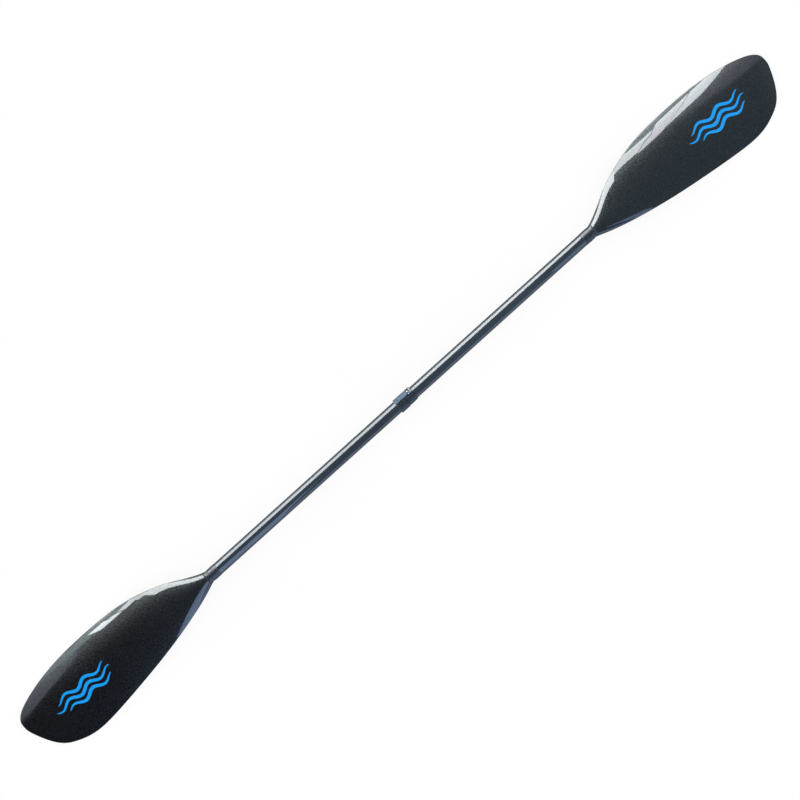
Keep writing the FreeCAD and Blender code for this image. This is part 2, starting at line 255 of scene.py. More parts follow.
@dataclass(frozen=True)
class ClearCoatedCarbon:
    """Twill carbon under a glossy clear coat: dark tows that catch the light by turns.

    Attributes:
        dark, light: colours of the tows, turned away from and towards the light.
        glint colour: painted highlight specks, mixed into the cloth's colour where the grain is brightest.
        tow, repeat, weave_turn_deg, relief: a tow's width, the tows in a repeat, the weave's turn and depth.
        under_roughness: roughness of the cloth, at its roughest and smoothest.
        grain_scale, cloud_scale, fleck_scale, peel_scale: features per metre.
        fleck: the cloth's weakest and strongest reflection.
        coat_roughness, coat_ior: the clear coat's roughness and refractive index.
        orange_peel: waviness of the clear coat.
    """

    name: str
    dark: Colour = (0.0006, 0.0007, 0.0010, 1.0)
    light: Colour = (0.0017, 0.0020, 0.0026, 1.0)
    # Painted highlight: colour of the bright specks that stand in for glints.
    painted_glint: Colour = (0.010, 0.0112, 0.0135, 1.0)
    tow: float = 1.1 * MM
    repeat: float = 4.0
    weave_turn_deg: float = 45.0
    relief: float = 40.0 * MICRON
    under_roughness: tuple[float, float] = (0.54, 0.32)
    grain_scale: float = 1500.0
    cloud_scale: float = 9.0
    fleck: tuple[float, float] = (0.04, 0.42)
    fleck_scale: float = 620.0
    coat_roughness: float = 0.03
    coat_ior: float = 1.5
    orange_peel: float = 2.5 * MICRON
    peel_scale: float = 160.0

    def build(self) -> Material:
        """Make the material."""
        material, sheet, shader, place = start_material(self.name)
        axes = sheet.add("ShaderNodeSeparateXYZ")
        weave = sheet.add("ShaderNodeVectorRotate", rotation_type="Z_AXIS")
        weave.inputs["Angle"].default_value = math.radians(self.weave_turn_deg)
        sheet.feed(weave.inputs["Vector"], place)
        sheet.feed(axes.inputs[0], weave.outputs[0])
        across = sheet.maths("DIVIDE", axes.outputs[0], self.tow)
        along = sheet.maths("DIVIDE", axes.outputs[1], self.tow)
        step = sheet.maths("ADD", sheet.maths("FLOOR", across), sheet.maths("FLOOR", along))
        twill = sheet.maths("LESS_THAN", sheet.maths("FLOORED_MODULO", step, self.repeat), self.repeat / 2.0)
        grain = sheet.noise(place, self.grain_scale, 2.0)
        cloud = sheet.noise(place, self.cloud_scale, 3.0)
        cloth = sheet.blend(twill, self.dark, self.light)
        # Painted glints: the brightest random grains take the highlight colour.
        painted_glint_share = sheet.ramp(grain, 0.52, 0.78)
        colour = sheet.blend(painted_glint_share, cloth, self.painted_glint)
        shade = sheet.ramp(cloud, 0.3, 0.7, 0.82, 1.12)
        toned = sheet.add("ShaderNodeHueSaturation")
        sheet.feed(toned.inputs["Value"], shade)
        sheet.feed(toned.inputs["Color"], colour)
        flecks = sheet.noise(place, self.fleck_scale, 2.0)
        peel = sheet.noise(place, self.peel_scale, 2.0)
        sheet.wire(shader, {
            "Base Color": toned.outputs[0],
            "Roughness": sheet.ramp(grain, 0.3, 0.8, *self.under_roughness),
            "Normal": sheet.bump(twill, self.relief),
            "Specular IOR Level": sheet.ramp(flecks, 0.36, 0.66, *self.fleck),
            "Coat Weight": 1.0,
            "Coat Roughness": self.coat_roughness,
            "Coat IOR": self.coat_ior,
            "Coat Normal": sheet.bump(peel, self.orange_peel),
        })
        return material


@dataclass(frozen=True)
class MouldedPlastic:
    """Moulded or wrapped plastic with a fine spark texture, and edges in another colour that is partly rubbed
    wear and partly a painted highlight.

    Attributes:
        roughness: its middle roughness.
        spark, spark_scale: depth of the fine texture and its grains per metre.
        patch, patch_scale: how much a patch differs in roughness, and patches per metre.
        the edge colour: partly rubbed wear, partly a painted highlight on the edges.
    """

    name: str
    colour: Colour
    roughness: float = 0.5
    spark: float = 30.0 * MICRON
    spark_scale: float = 2600.0
    patch_scale: float = 120.0
    patch: float = 0.07
    # Edge colour: partly rubbed wear, partly a painted highlight where edges catch the light.
    edge_wear_and_sheen: Colour = (0.05, 0.055, 0.065, 1.0)

    def build(self) -> Material:
        """Make the material."""
        material, sheet, shader, place = start_material(self.name)
        fine = sheet.noise(place, self.spark_scale, 2.0)
        broad = sheet.noise(place, self.patch_scale, 4.0)
        geometry = sheet.add("ShaderNodeNewGeometry")
        # Sharp edges, in patches, take the edge colour: partly rubbed wear, partly painted highlight.
        edges = sheet.ramp(geometry.outputs["Pointiness"], 0.53, 0.64)
        edge_wear_and_sheen_share = sheet.maths("MULTIPLY", edges, sheet.ramp(broad, 0.42, 0.62))
        smooth, rough = self.roughness - self.patch, self.roughness + self.patch
        sheet.wire(shader, {
            "Base Color": sheet.blend(edge_wear_and_sheen_share, self.colour, self.edge_wear_and_sheen),
            "Roughness": sheet.ramp(broad, 0.3, 0.7, smooth, rough),
            "Normal": sheet.bump(fine, self.spark),
        })
        return material


@dataclass(frozen=True)
class BrushedMetal:
    """Metal with fine lengthwise brushing and a little staining.

    Attributes:
        roughness: its middle roughness.
        stretch: how much longer than wide the brush lines are.
        line_scale, relief: brush lines per metre before the stretch, and their depth.
        stain, stain_scale: brightness of a stain, and stains per metre.
    """

    name: str
    colour: Colour
    roughness: float = 0.3
    stretch: float = 14.0
    line_scale: float = 380.0
    relief: float = 10.0 * MICRON
    stain_scale: float = 210.0
    stain: float = 0.62

    def build(self) -> Material:
        """Make the material."""
        material, sheet, shader, place = start_material(self.name)
        mapping = sheet.add("ShaderNodeMapping")
        mapping.inputs["Scale"].default_value = (1.0, self.stretch, self.stretch)
        sheet.feed(mapping.inputs["Vector"], place)
        lines = sheet.noise(mapping.outputs[0], self.line_scale, 4.0)
        stains = sheet.ramp(sheet.noise(place, self.stain_scale, 3.0), 0.3, 0.75)
        smooth, rough = self.roughness - 0.08, self.roughness + 0.12
        sheet.wire(shader, {
            "Base Color": sheet.blend(stains, self.colour, shaded(self.colour, self.stain)),
            "Roughness": sheet.ramp(lines, 0.3, 0.7, smooth, rough),
            "Normal": sheet.bump(lines, self.relief),
            "Metallic": 1.0,
        })
        return material


@dataclass(frozen=True)
class CellFoam:
    """Closed-cell foam: pale, with small bubbles."""

    name: str
    colour: Colour
    cell_scale: float = 900.0
    cell_depth: float = 100.0 * MICRON

    def build(self) -> Material:
        """Make the material."""
        material, sheet, shader, place = start_material(self.name)
        cells = sheet.add("ShaderNodeTexVoronoi")
        cells.inputs["Scale"].default_value = self.cell_scale
        sheet.feed(cells.inputs["Vector"], place)
        depth = sheet.ramp(cells.outputs["Distance"], 0.1, 0.6)
        sheet.wire(shader, {
            "Base Color": sheet.blend(depth, self.colour, shaded(self.colour, 0.7)),
            "Normal": sheet.bump(depth, self.cell_depth),
            "Roughness": 0.9,
        })
        return material


@dataclass(frozen=True)
class PrintedFilm:
    """Bright ink under a thin clear coat."""

    name: str
    colour: Colour
    ink_scale: float = 700.0
    relief: float = 8.0 * MICRON

    def build(self) -> Material:
        """Make the material."""
        material, sheet, shader, place = start_material(self.name)
        ink = sheet.noise(place, self.ink_scale, 3.0)
        depth = sheet.ramp(ink, 0.35, 0.7)
        sheet.wire(shader, {
            "Base Color": sheet.blend(depth, self.colour, shaded(self.colour, 0.86)),
            "Normal": sheet.bump(ink, self.relief),
            "Roughness": 0.35,
            "Specular IOR Level": 0.08,
            "Coat Weight": 0.6,
            "Coat Roughness": 0.05,
        })
        return material


class Wardrobe:
    """All finishes, each built once."""

    def __init__(self) -> None:
        """Build every finish."""
        self.carbon = ClearCoatedCarbon("carbon_clear_coat").build()
        self.tube_carbon = ClearCoatedCarbon(
            "tube_clear_coat", dark=(0.016, 0.022, 0.032, 1.0), light=(0.028, 0.040, 0.056, 1.0),
            # Painted glint colour for the tube's bright specks.
            painted_glint=(0.060, 0.080, 0.105, 1.0), tow=0.8 * MM, coat_roughness=0.02,
            orange_peel=1.0 * MICRON, fleck=(0.03, 0.06),
        ).build()
        self.laminate = MouldedPlastic("bare_laminate", (0.012, 0.012, 0.013, 1.0), 0.35).build()
        self.foam = CellFoam("core_foam", (0.78, 0.74, 0.62, 1.0)).build()
        self.band = MouldedPlastic(
            "neck_wrap", (0.0130, 0.0160, 0.0240, 1.0), 0.36, 6.0 * MICRON, 1400.0,
        ).build()
        self.collar = MouldedPlastic("collar_nylon", (0.0095, 0.0160, 0.0250, 1.0), 0.36).build()
        self.lever = BrushedMetal("lever_anodised", (0.038, 0.050, 0.068, 1.0), 0.55).build()
        self.steel = BrushedMetal("pin_steel", (0.55, 0.55, 0.54, 1.0), 0.25).build()
        self.shoe = MouldedPlastic("shoe_acetal", (0.60, 0.60, 0.57, 1.0), 0.45).build()
        self.seal = MouldedPlastic(
            "ring_rubber", (0.012, 0.012, 0.012, 1.0), 0.75, 50.0 * MICRON, 1500.0,
        ).build()
        self.film = PrintedFilm("blue_ink", (0.004, 0.36, 0.97, 1.0)).build()


# Meshes


def make_object(name: str, points: list, faces: list, material: Material) -> Piece:
    """Mesh object with outward faces and smooth shading.

    Args:
        name: the piece's name.
        points: vertex places in metres.
        faces: vertex indices of each face.
        material: the finish.

    Returns:
        The new object, linked to the scene.
    """
    mesh = bpy.data.meshes.new(name)
    mesh.from_pydata([tuple(point) for point in points], [], faces)
    form = bmesh.new()
    form.from_mesh(mesh)
    bmesh.ops.remove_doubles(form, verts=form.verts, dist=0.1 * MICRON)
    bmesh.ops.recalc_face_normals(form, faces=form.faces)
    form.to_mesh(mesh)
    form.free()
    mesh.shade_smooth()
    mesh.materials.append(material)
    piece = bpy.data.objects.new(name, mesh)
    bpy.context.scene.collection.objects.link(piece)
    return piece


def loft(rings: list, capped: bool = True) -> tuple[list, list]:
    """Closed rings of points joined by quads.

    Args:
        rings: rings with equal numbers of points.
        capped: whether the first and last ring are closed with a face.

    Returns:
        Points and faces.
    """
    size = len(rings[0])
    points = [point for ring in rings for point in ring]
    faces = []
    for row in range(len(rings) - 1):
        here, beyond = row * size, (row + 1) * size
        for k in range(size):
            after = (k + 1) % size
            faces.append((here + k, here + after, beyond + after, beyond + k))
    if capped:
        faces.append(tuple(range(size)))
        faces.append(tuple((len(rings) - 1) * size + k for k in range(size)))
    return points, faces


def turned(profile: list, height: float, segments: int = 128) -> tuple[list, list]:
    """Body of revolution about the shaft's axis from a closed profile.

    Args:
        profile: (x, radius) corners in order round the section.
        height: the axis's height above the floor.
        segments: facets round the turn.

    Returns:
        Points and faces.
    """
    rings = []
    for k in range(segments + 1):
        angle = 2.0 * math.pi * k / segments
        rings.append([(x, r * math.sin(angle), height + r * math.cos(angle)) for x, r in profile])
    return loft(rings, capped=False)


def settle(piece: Piece, body: str, slot: Slot, *nodes: str) -> Piece:
    """Tie a piece to its body and hide the nodes that it stands for.

    Args:
        piece: the object.
        body: the rigid body it rides on.
        slot: the record's material slot; not used.
        nodes: replaced nodes, if any.

    Returns:
        The same object.
    """
    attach(piece, body)
    if nodes:
        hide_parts(*nodes)
    LOG.info("%s rides on %s with %d faces", piece.name, body, len(piece.data.polygons))
    return piece


class ClampedSpline:
    """Smooth curve through plan points, evenly numbered, with set directions at both ends."""

    def __init__(self, points: list, start: tuple, end: tuple) -> None:
        """Solve for the tangents.

        Args:
            points: (x, y) pairs.
            start: tangent at the first point.
            end: tangent at the last point.
        """
        self.points = np.array(points, dtype=float)
        count = len(points)
        matrix = np.eye(count)
        right = np.zeros((count, 2))
        right[0] = start
        right[-1] = end
        for k in range(1, count - 1):
            matrix[k, k - 1:k + 2] = (1.0, 4.0, 1.0)
            right[k] = 3.0 * (self.points[k + 1] - self.points[k - 1])
        self.tangents = np.linalg.solve(matrix, right)

    def at(self, place: float) -> np.ndarray:
        """Point at a place counted in the numbered points."""
        k = min(int(place), len(self.points) - 2)
        u = place - k
        first, second = self.points[k], self.points[k + 1]
        lean, late = self.tangents[k], self.tangents[k + 1]
        rest = 1.0 - u
        return (
            first * (1.0 + 2.0 * u) * rest ** 2 + lean * u * rest ** 2
            + second * (3.0 - 2.0 * u) * u ** 2 - late * rest * u ** 2
        )


def smooth_step(share: float) -> float:
    """0 to 1 with level ends."""
    share = min(max(share, 0.0), 1.0)
    return share * share * (3.0 - 2.0 * share)


@dataclass
class BladeForm:
    """Shape of the right-hand blade; the left one is its mirror image across X = 0.

    Attributes:
        half_width: half the blade's width, to which the outlines' shares refer.
        least_half: least half width that a proud surface reckons with.
        skin: thickness of a skin.
        rim, tip_half_height: half the blade's thickness at its edge and at its tip.
        thinning: how soon it thins from the root to the tip.
        tip_drop: how far the tip lies under the shaft's top.
        edge_roll, lower_roll: drop of the rolled and the lower edge, and how sharply it starts.
        set_slope, set_share: slope across the blade, and the share of the length where it sets in.
        flattening, flat_share: how much flatter the faces get, and over what share of the length.
        tip_rounding: roundness of the outline where it meets the tip.
        length, root_radius, neck, axis: read from the frame: the blade's length, the tube's
            radius, where the blade starts along X and the shaft axis's height.
        rolled_edge, lower_edge: the fitted outlines.
    """

    half_width: float = 88.1 * MM
    least_half: float = 4.0 * MM
    skin: float = 0.9 * MM
    rim: float = 1.5 * MM
    tip_half_height: float = 2.2 * MM
    thinning: float = 1.6
    tip_drop: float = 34.0 * MM
    edge_roll: tuple[float, float] = (30.0 * MM, 3.2)
    lower_roll: tuple[float, float] = (10.0 * MM, 2.2)
    set_slope: float = math.tan(math.radians(5.0))
    set_share: float = 0.45
    flattening: float = 0.6
    flat_share: float = 0.3
    tip_rounding: float = 0.22
    length: float = field(init=False)
    root_radius: float = field(init=False)
    neck: float = field(init=False)
    axis: float = field(init=False)
    rolled_edge: ClampedSpline = field(init=False)
    lower_edge: ClampedSpline = field(init=False)

    ROLLED = (
        (0.076, 0.297), (0.168, 0.583), (0.274, 0.811), (0.396, 0.960), (0.547, 1.008),
        (0.698, 0.986), (0.821, 0.889), (0.915, 0.743), (0.977, 0.571), (1.0, 0.354),
    )
    LOWER = (
        (0.076, -0.280), (0.168, -0.440), (0.274, -0.589), (0.396, -0.726), (0.547, -0.857),
        (0.698, -0.960), (0.802, -0.954), (0.883, -0.800), (0.953, -0.43), (1.0, 0.217),
    )
    NECK_SHARE = 0.017

    def __post_init__(self) -> None:
        """Read the place from the frame and fit the two edges."""
        low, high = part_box("right_blade_back_skin")
        tube_low, tube_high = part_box("right_shaft_tube")
        self.neck = low[0]
        self.length = high[0] - low[0]
        self.axis = (tube_low[2] + tube_high[2]) / 2.0
        self.root_radius = (tube_high[2] - tube_low[2]) / 2.0
        self.rolled_edge = self.edge(self.ROLLED, 1.0)
        self.lower_edge = self.edge(self.LOWER, -1.0)

    def edge(self, outline: tuple, side: float) -> ClampedSpline:
        """Spline of one edge in plan.

        Args:
            outline: shares of length and half width.
            side: 1 for the rolled edge, -1 for the lower one.

        Returns:
            The fitted edge.
        """
        straight = self.NECK_SHARE * self.length
        points = [(0.0, side * self.root_radius), (straight, side * self.root_radius)]
        points += [(along * self.length, across * self.half_width) for along, across in outline]
        start = (2.0 * straight, 0.0)
        end = (0.0, -side * self.tip_rounding * self.half_width)
        return ClampedSpline(points, start, end)

    @property
    def last(self) -> int:
        """Number of the last outline point."""
        return len(self.ROLLED) + 1

    def mould_height(self, y: float, share: float, half_height: float) -> float:
        """Height of the middle surface above the shaft's axis.

        Args:
            y: how far from the shaft's axis, positive towards the rolled edge.
            share: share of the blade's length.
            half_height: half its thickness on the middle line there.

        Returns:
            The height.
        """
        back_line = self.root_radius - self.tip_drop * share ** 2
        roll = 0.0
        for reach, (drop, power) in ((y, self.edge_roll), (-y, self.lower_roll)):
            roll += drop * (max(reach, 0.0) / self.half_width) ** power
        return back_line - half_height + smooth_step(share / self.set_share) * (y * self.set_slope - roll)

    def centre_height(self, share: float) -> float:
        """Half the thickness on the blade's middle line."""
        loss = self.root_radius - self.tip_half_height
        return self.tip_half_height + loss * (1.0 - share) ** self.thinning

    def point(self, place: float, across: float, face: float, inset: float = 0.0, grow: float = 0.0) -> Point:
        """Point on a blade surface.

        Args:
            place: how far along, counted in outline points.
            across: -1 at the lower edge to 1 at the rolled edge.
            face: 1 for the back, -1 for the power face, values between for the rim.
            inset: how far the surface lies under the outer one.
            grow: how far it stands proud of the outline and faces.

        Returns:
            The point in the frame.
        """
        top = self.rolled_edge.at(place)
        bottom = self.lower_edge.at(place)
        middle = (top + bottom) / 2.0
        half = (top - bottom) / 2.0
        share = min(max(middle[0] / self.length, 0.0), 1.0)
        centre = self.centre_height(share)
        fullness = 1.0 + self.flattening * smooth_step(share / self.flat_share)
        limit = math.acos(self.rim / self.root_radius)
        offset = math.sin(across * limit) / math.sin(limit)
        lift = max((math.cos(across * limit) - math.cos(limit)) / (1.0 - math.cos(limit)), 0.0)
        height = self.rim + (centre - self.rim) * lift ** fullness - inset
        base = middle + half * offset * (1.0 + grow / max(half[1], self.least_half))
        level = self.mould_height(base[1], share, centre)
        return (self.neck + base[0], base[1], self.axis + level + face * (max(height, 0.0) + grow))


@dataclass(frozen=True)
class Ripple:
    """One stroke of the mark, in millimetres: its shift along X, its place across and its length."""

    shift: float
    level: float
    span: float


@dataclass(frozen=True)
class WaveMark:
    """Plain mark of three tapering ripples that lie on a blade's back face.

    Attributes:
        centre_x, proud: the mark's middle along X and the ink's thickness, in metres.
        wave_length, wave_height: of one wave, in millimetres.
        thickest, thinnest: half a stroke's width at its middle and ends, in millimetres.
        taper: how blunt the ends are.
        steps: sections along a stroke.
        section: places across a stroke, each with its share of 'proud'.
    """

    centre_x: float
    ripples: tuple[Ripple, ...] = (
        Ripple(0.0, 15.0, 140.0), Ripple(-4.0, 0.0, 160.0), Ripple(5.0, -15.0, 124.0),
    )
    wave_length: float = 56.0
    wave_height: float = 5.5
    thickest: float = 3.6
    thinnest: float = 0.15
    taper: float = 0.55
    proud: float = 0.04 * MM
    steps: int = 90
    section: tuple = ((-1, -0.2), (-0.9, 0.9), (-0.4, 1.0), (0.4, 1.0), (0.9, 0.9), (1, -0.2))

    def ring(self, ripple: Ripple, share: float, face: BVHTree) -> list[Point]:
        """Section of a stroke, dropped on to the face.

        Args:
            ripple: the stroke.
            share: how far along it.
            face: the shell's surface.

        Returns:
            The section's points.
        """
        along = ripple.shift + ripple.span * (share - 0.5)
        turn = 2.0 * math.pi * along / self.wave_length
        wave = self.wave_height * math.sin(turn)
        lean = self.wave_height * 2.0 * math.pi / self.wave_length * math.cos(turn)
        half = self.thickest * math.sin(math.pi * share) ** self.taper + self.thinnest
        size = math.hypot(1.0, lean)
        points = []
        for edge, proud in self.section:
            x = self.centre_x + along * MM - lean / size * half * edge * MM
            y = (ripple.level + wave + half * edge / size) * MM
            hit = face.ray_cast(Vector((x, y, 1.0)), Vector((0.0, 0.0, -1.0)))[0]
            points.append((x, y, hit.z + proud * self.proud))
        return points

    def build(self, name: str, shell: Piece, material: Material) -> Piece:
        """Draw every stroke on the shell as one piece.

        Args:
            name: the piece's name.
            shell: the back shell that carries it.
            material: the ink.

        Returns:
            The mark.
        """
        corners = [vertex.co for vertex in shell.data.vertices]
        face = BVHTree.FromPolygons(corners, [polygon.vertices for polygon in shell.data.polygons])
        points: list = []
        faces: list = []
        for ripple in self.ripples:
            rings = [self.ring(ripple, k / self.steps, face) for k in range(self.steps + 1)]
            stroke_points, stroke_faces = loft(rings)
            base = len(points)
            points += stroke_points
            faces += [tuple(base + index for index in corner) for corner in stroke_faces]
        return make_object(name, points, faces, material)


@dataclass
class Blade:
    """One blade: back shell, power shell, neck band and the blue wave mark.

    Attributes:
        rows, tip_crowding: sections along the blade, and how much closer they lie at the tip.
        columns, seam_steps, inner_steps: facets across a face, round a rim and across an inner face.
        inner_share: share of the width that the inner face takes up.
        rim_bulge: how far the rim stands out, as a share of its half thickness.
        rim_start, rim_full: outline points between which the rim comes to stand out.
        band_start, band_end_place: how far before the neck the wrap starts, and the point where it ends.
        band_on_tube: share of the wrap that lies on the tube.
        band_proud, band_sunk: how far its faces lie off and under the neck's surface.
        band_stops, band_around: sections along it, and facets round it.
        mark_from_tip: from the blade's end to the mark's middle.
    """

    side: Side
    form: BladeForm
    finishes: Wardrobe
    rows: int = 200
    tip_crowding: float = 1.15
    columns: int = 72
    seam_steps: int = 3
    inner_steps: int = 12
    inner_share: float = 0.94
    rim_bulge: float = 0.8
    rim_start: float = 0.9
    rim_full: float = 2.4
    band_start: float = 17.0 * MM
    band_end_place: float = 1.33
    band_on_tube: float = 0.45
    band_proud: float = 0.4 * MM
    band_sunk: float = 0.2 * MM
    band_stops: int = 16
    band_around: int = 48
    mark_from_tip: float = 158.0 * MM

    def place(self, point: Point) -> Point:
        """The point, mirrored when the blade is the left one."""
        return (point[0] * self.side.value, point[1], point[2])

    def shell_ring(self, place: float, face: float) -> list:
        """Closed section of one skin: rim curve, outer face, rim curve and inner face.

        Args:
            place: how far along the blade.
            face: 1 for the back skin, -1 for the power skin.

        Returns:
            The ring's points.
        """
        form = self.form
        angles = [math.pi / 2 * k / self.seam_steps for k in range(self.seam_steps)]
        ring = [self.rim_point(place, -1.0, face, angle) for angle in angles]
        for k in range(self.columns + 1):
            across = 2.0 * k / self.columns - 1.0
            ring.append(form.point(place, across, face))
        ring += [self.rim_point(place, 1.0, face, angle) for angle in reversed(angles)]
        for k in range(self.inner_steps, -1, -1):
            across = self.inner_share * (2.0 * k / self.inner_steps - 1.0)
            ring.append(form.point(place, across, face, inset=form.skin))
        return [self.place(point) for point in ring]

    def rim_point(self, place: float, across: float, face: float, angle: float) -> Point:
        """Point on the rounded rim.

        Args:
            place: how far along the blade.
            across: -1 at the lower edge, 1 at the rolled edge.
            face: 1 for the back skin, -1 for the power skin.
            angle: 0 at the seam, a right angle where the face starts.

        Returns:
            The point.
        """
        form = self.form
        edge = form.point(place, across, face)
        middle = form.point(place, across, 0.0)
        half = (edge[2] - middle[2]) * math.sin(angle)
        grown = smooth_step((place - self.rim_start) / (self.rim_full - self.rim_start))
        bulge = self.rim_bulge * form.rim * math.cos(angle) * grown
        return (middle[0], middle[1] + across * bulge, middle[2] + half)

    def places(self) -> list[float]:
        """Row places, closer together towards the tip."""
        last = self.form.last
        return [last * (1.0 - (1.0 - k / self.rows) ** self.tip_crowding) for k in range(self.rows + 1)]

    def build_shell(self, label: str, face: float) -> Piece:
        """One moulded skin as a closed shell.

        Args:
            label: 'back' or 'power'.
            face: 1 for the back, -1 for the power face.

        Returns:
            The shell.
        """
        rings = [self.shell_ring(place, face) for place in self.places()]
        points, faces = loft(rings)
        word = self.side.word
        piece = make_object(f"{word}_{label}_shell", points, faces, self.finishes.carbon)
        return settle(piece, self.side.body, Slot.CARBON, f"{word}_blade_{label}_skin")

    def build_band(self) -> Piece:
        """Matte wrap over the neck joint, following the flare of the blade's root."""
        outer, inner = [], []
        for k in range(self.band_stops + 1):
            share = k / self.band_stops
            swell = self.band_proud * min(1.0, 4.0 * share + 0.3, 2.2 * (1.0 - share) + 0.08)
            outer.append(self.band_ring(share, swell))
            inner.append(self.band_ring(share, -self.band_sunk))
        rings = outer + inner[::-1] + [outer[0]]
        points, faces = loft(rings, capped=False)
        word = self.side.word
        piece = make_object(f"{word}_neck_band", points, faces, self.finishes.band)
        return settle(piece, self.side.body, Slot.SLEEVE, f"{word}_neck_sleeve")

    def band_ring(self, share: float, swell: float) -> list:
        """Ring of the wrap: round on the tube, then the blade's own section.

        Args:
            share: how far along the wrap.
            swell: how far the ring stands off the neck.

        Returns:
            The ring's points.
        """
        past = (share - self.band_on_tube) / (1.0 - self.band_on_tube)
        shift = -self.band_start * max(1.0 - share / self.band_on_tube, 0.0)
        place = self.band_end_place * max(past, 0.0)
        half = self.band_around // 2
        ring = []
        for face in (1.0, -1.0):
            for k in range(half):
                across = (2.0 * k / half - 1.0) * face
                x, y, z = self.form.point(place, across, face, grow=swell)
                ring.append(self.place((x + shift, y, z)))
        return ring

    def build_mark(self, shell: Piece) -> Piece:
        """Wave mark on the back shell.

        Args:
            shell: the back shell.

        Returns:
            The mark.
        """
        centre_x = (self.form.neck + self.form.length - self.mark_from_tip) * self.side.value
        piece = WaveMark(centre_x).build(f"{self.side.word}_wave_mark", shell, self.finishes.film)
        return settle(piece, self.side.body, Slot.CARBON)

    def build(self) -> None:
        """Build every visible piece of the blade and dress its hidden nodes."""
        back = self.build_shell("back", 1.0)
        self.build_shell("power", -1.0)
        self.build_band()
        self.build_mark(back)
        word = self.side.word
        dress(f"{word}_blade_core", self.finishes.foam)
        dress(f"{word}_neck_tenon", self.finishes.laminate)


def dress(node: str, material: Material) -> None:
    """Give a carried-over CAD node its finish.

    Args:
        node: the node's name.
        material: the finish.
    """
    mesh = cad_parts[node].data
    if mesh.materials:
        for k in range(len(mesh.materials)):
            mesh.materials[k] = material
    else:
        mesh.materials.append(material)


@dataclass
class Shaft:
    """The two carbon tubes with eased ends, and what is fixed inside them.

    Attributes:
        ease: size of the eased corner at a tube's end.
        ease_middle: how far its middle point lies in from the tube, as a share of the size.
    """

    finishes: Wardrobe
    ease: float = 0.5 * MM
    ease_middle: float = 0.3

    def build_tube(self, side: Side) -> Piece:
        """Fine round tube for one half.

        Args:
            side: which half.

        Returns:
            The tube.
        """
        low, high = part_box(f"{side.word}_shaft_tube")
        spigot_low, spigot_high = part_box("spigot_tube")
        height = (low[2] + high[2]) / 2.0
        radius = (high[2] - low[2]) / 2.0
        bore = (spigot_high[2] - spigot_low[2]) / 2.0
        ease = self.ease
        part = self.ease_middle * ease
        corner = ((0.0, ease), (part, part), (ease, 0.0), (2.0 * ease, 0.0))
        profile = [(low[0], bore)] + [(low[0] + along, radius - under) for along, under in corner]
        profile += [(high[0] - along, radius - under) for along, under in reversed(corner)]
        profile.append((high[0], bore))
        points, faces = turned(profile, height)
        piece = make_object(f"{side.word}_tube_body", points, faces, self.finishes.tube_carbon)
        return settle(piece, side.body, Slot.CARBON, f"{side.word}_shaft_tube")

    def build(self) -> None:
        """Build both tubes and dress the inner pieces."""
        for side in Side:
            self.build_tube(side)
            dress(f"{side.word}_shaft_bulkhead", self.finishes.foam)
        dress("spigot_tube", self.finishes.laminate)
        dress("spigot_end_cap", self.finishes.collar)


@dataclass
class LeverCollar:
    """Moulded ferrule collar with its lever, pins, screw, shoe and ring.

    Attributes:
        collar_cell, lever_cell: fineness of the collar's and the lever's surface.
        rounds: smoothing passes.
    """

    finishes: Wardrobe
    collar_cell: float = 0.34 * MM
    lever_cell: float = 0.22 * MM
    rounds: int = 4

    def softened(self, node: str, name: str, cell: float, material: Material) -> Piece:
        """Moulded version of a machined shape: remeshed finely and its corners eased.

        Args:
            node: the node whose shape is softened.
            name: the new piece's name.
            cell: size of the fine cells.
            material: the finish.

        Returns:
            The new piece.
        """
        piece = bpy.data.objects.new(name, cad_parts[node].data.copy())
        bpy.context.scene.collection.objects.link(piece)
        remesh = piece.modifiers.new("fine_cells", "REMESH")
        remesh.mode = "VOXEL"
        remesh.voxel_size = cell
        remesh.use_smooth_shade = True
        ease = piece.modifiers.new("eased_corners", "SMOOTH")
        ease.factor = 0.5
        ease.iterations = self.rounds
        depsgraph = bpy.context.evaluated_depsgraph_get()
        mesh = bpy.data.meshes.new_from_object(piece.evaluated_get(depsgraph))
        piece.modifiers.clear()
        piece.data = mesh
        mesh.shade_smooth()
        mesh.materials.clear()
        mesh.materials.append(material)
        return piece

    def build(self) -> None:
        """Build the collar and lever and dress the small parts."""
        collar = self.softened("clamp_collar", "collar_moulding", self.collar_cell, self.finishes.collar)
        settle(collar, "left_half", Slot.COLLAR, "clamp_collar")
        lever = self.softened("clamp_lever", "lever_body", self.lever_cell, self.finishes.lever)
        settle(lever, "lever", Slot.LEVER, "clamp_lever")
        dress("lever_hinge_pins", self.finishes.steel)
        dress("tension_screw", self.finishes.steel)
        dress("pressure_shoe", self.finishes.shoe)
        dress("mouth_seal_ring", self.finishes.seal)


# Studio


@dataclass(frozen=True)
class Panel:
    """Reflection-only light panel: a rectangle that the gloss shows and that lights nothing else.

    Attributes:
        name: the panel's name.
        middle: its centre.
        facing: the point it faces.
        size: its length along X and its other side.
        radiance: brightness of its face.
        colour: its tint.
    """

    name: str
    middle: Point
    facing: Point
    size: tuple[float, float]
    radiance: float
    colour: Tint

    def build(self) -> Piece:
        """Hang the panel."""
        lamp = bpy.data.lights.new(self.name, "AREA")
        lamp.shape = "RECTANGLE"
        lamp.size, lamp.size_y = self.size
        lamp.energy = self.radiance * math.pi * self.size[0] * self.size[1]
        lamp.color = self.colour
        holder = bpy.data.objects.new(self.name, lamp)
        bpy.context.scene.collection.objects.link(holder)
        back = (Vector(self.middle) - Vector(self.facing)).normalized()
        side = Vector((1.0, 0.0, 0.0))
        side = (side - back * side.dot(back)).normalized()
        turn = Matrix((side, back.cross(side), back)).transposed().to_4x4()
        turn.translation = Vector(self.middle)
        holder.matrix_world = turn
        holder.visible_camera = False
        holder.visible_diffuse = False
        return holder


